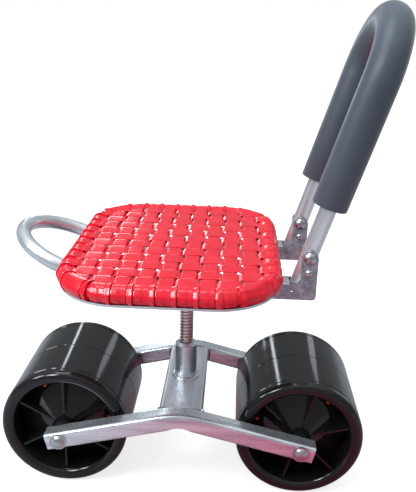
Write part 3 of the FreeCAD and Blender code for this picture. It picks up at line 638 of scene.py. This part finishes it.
# Stage: a pale floor that keeps the shadow, a white ground behind and soft lights round it.
# The floor's grey, with a painted pool of pink light round the object, and the room's greys are seen only by
# their light and in what the object reflects.
floor_size = 30.0
floor_drop = 0.3 * MM
floor_grey = (0.5, 0.5, 0.5, 1)
floor_strength = 0.76
# Place, spread and fade of the painted pool of pink light on the floor round the object.
painted_pool_patch = {"Scale": (1.9, 1.0, 1.0), "Location": (-0.36, 0.36, 0.0)}
painted_pool_from = 0.15
painted_pool_to = 0.80
white = (1, 1, 1, 1)
sky_steps = ((0.0, 0.2), (0.50, 0.35), (0.64, 0.34), (0.78, 0.45), (0.9, 0.9), (1.0, 1.3))
sky_tone = (0.92, 0.97, 1.0)
light_tone = (0.88, 0.95, 1.0)


def mix_for_camera(tree, lit, seen, output):
    """Surface that lights the object by one shader and shows another to the camera."""
    path = add_node(tree, "ShaderNodeLightPath", {}, {})
    links = {0: path.outputs["Is Camera Ray"], 1: lit.outputs[0], 2: seen.outputs[0]}
    mix = add_node(tree, "ShaderNodeMixShader", {}, links)
    tree.links.new(mix.outputs[0], output.inputs["Surface"])


bpy.ops.mesh.primitive_plane_add(size=floor_size, location=(0, 0, -floor_drop))
floor = bpy.context.object
floor.name = "floor"
floor_paint, floor_tree, floor_shader, floor_place = new_material("white_floor")
floor_tree.nodes.remove(floor_shader)
# Painted light: a pink pool of light on the floor round the object, fading to grey outwards; seen only in
# the object's reflections and in the light the floor throws.
painted_pool_place = add_node(floor_tree, "ShaderNodeMapping", painted_pool_patch, {"Vector": floor_place}).outputs["Vector"]
painted_pool_distance = add_node(floor_tree, "ShaderNodeVectorMath", {"operation": "LENGTH"}, {0: painted_pool_place})
painted_pool_fade = spread(floor_tree, painted_pool_distance.outputs["Value"], painted_pool_from, painted_pool_to, 0, 1)
floor_with_painted_pool = two_tones(floor_tree, painted_pool_fade, "C8607C", "B6B8BC")
floor_coat = add_node(floor_tree, "ShaderNodeBsdfDiffuse", {}, {"Color": floor_with_painted_pool})
floor_shade = add_node(floor_tree, "ShaderNodeBsdfDiffuse", {"Color": floor_grey}, {})
floor_glow = add_node(floor_tree, "ShaderNodeEmission", {"Color": white, "Strength": floor_strength}, {})
floor_links = {0: floor_shade.outputs[0], 1: floor_glow.outputs[0]}
floor_seen = add_node(floor_tree, "ShaderNodeAddShader", {}, floor_links)
mix_for_camera(floor_tree, floor_coat, floor_seen, floor_tree.nodes["Material Output"])
floor.data.materials.append(floor_paint)

world = bpy.data.worlds.new("soft_room")
bpy.context.scene.world = world
world.use_nodes = True
sky_tree = world.node_tree
sky_place = add_node(sky_tree, "ShaderNodeTexCoord", {}, {}).outputs["Generated"]
sky_height = add_node(sky_tree, "ShaderNodeSeparateXYZ", {}, {0: sky_place}).outputs["Z"]
sky_ramp = add_node(sky_tree, "ShaderNodeValToRGB", {}, {0: spread(sky_tree, sky_height, -1, 1, 0, 1)})
ramp = sky_ramp.color_ramp
for position, value in sky_steps:
    if position in (0.0, 1.0):
        stop = ramp.elements[0 if position == 0.0 else -1]
    else:
        stop = ramp.elements.new(position)
    stop.color = (*(value * share for share in sky_tone), 1)
sky_light = {"Color": sky_ramp.outputs["Color"]}
sky_room = add_node(sky_tree, "ShaderNodeBackground", {"Strength": 1.0}, sky_light)
sky_white = add_node(sky_tree, "ShaderNodeBackground", {"Strength": 1.0, "Color": white}, {})
mix_for_camera(sky_tree, sky_room, sky_white, sky_tree.nodes["World Output"])


def soft_light(name, place, target, width, height, watts):
    """Rectangular light that faces a point and isn't seen by the camera."""
    lamp = bpy.data.lights.new(name, "AREA")
    lamp.shape = "RECTANGLE"
    lamp.size = width
    lamp.size_y = height
    lamp.energy = watts
    lamp.color = light_tone
    light = bpy.data.objects.new(name, lamp)
    light.location = place
    light.rotation_euler = (Vector(target) - Vector(place)).to_track_quat("-Z", "Y").to_euler()
    light.visible_camera = False
    bpy.context.collection.objects.link(light)


aim = (0, 0, 0.3)
soft_light("overhead", (-0.5, -0.1, 2.3), aim, 1.0, 1.0, 14)
soft_light("key_front_left", (-1.1, -1.23, 1.75), aim, 0.55, 0.55, 19)
soft_light("window_left", (-1.65, -0.77, 1.45), aim, 0.6, 0.5, 13)
soft_light("window_back", (-0.83, 2.88, 0.72), (0, 0, 0.35), 0.62, 0.4, 4.7)
soft_light("window_right", (1.7, 1.5, 0.6), aim, 0.5, 1.0, 2.5)
soft_light("strip_back_left", (-1.88, 5.8, 2.9), aim, 0.24, 1.4, 7.5)
soft_light("pane_back_right", (2.2, 5.5, 2.4), aim, 0.5, 0.8, 2.2)

# Camera: fitted to the photograph's edges; its place is measured from the lift screw's axis.
# The three directions are its right, its top and its back.
camera = bpy.data.objects.new("camera", bpy.data.cameras.new("camera"))
bpy.context.collection.objects.link(camera)
right = Vector((0.99852698, 0.04719163, 0.02677345))
top = Vector((-0.04102206, 0.3336711, 0.94179657))
back = Vector((0.03551138, -0.94150759, 0.3351155))
spot = Vector((61.245, -879.454, 658.439)) * MM + Vector((screw_x, 0, 0))
camera.matrix_world = Matrix.Translation(spot) @ Matrix((right, top, back)).transposed().to_4x4()
camera.data.sensor_fit = "VERTICAL"
camera.data.sensor_height = 36.0
camera.data.lens = 48.64
camera.data.clip_start = 0.01
camera.data.clip_end = 100.0
bpy.context.scene.camera = camera
bpy.context.scene.view_settings.view_transform = "Standard"
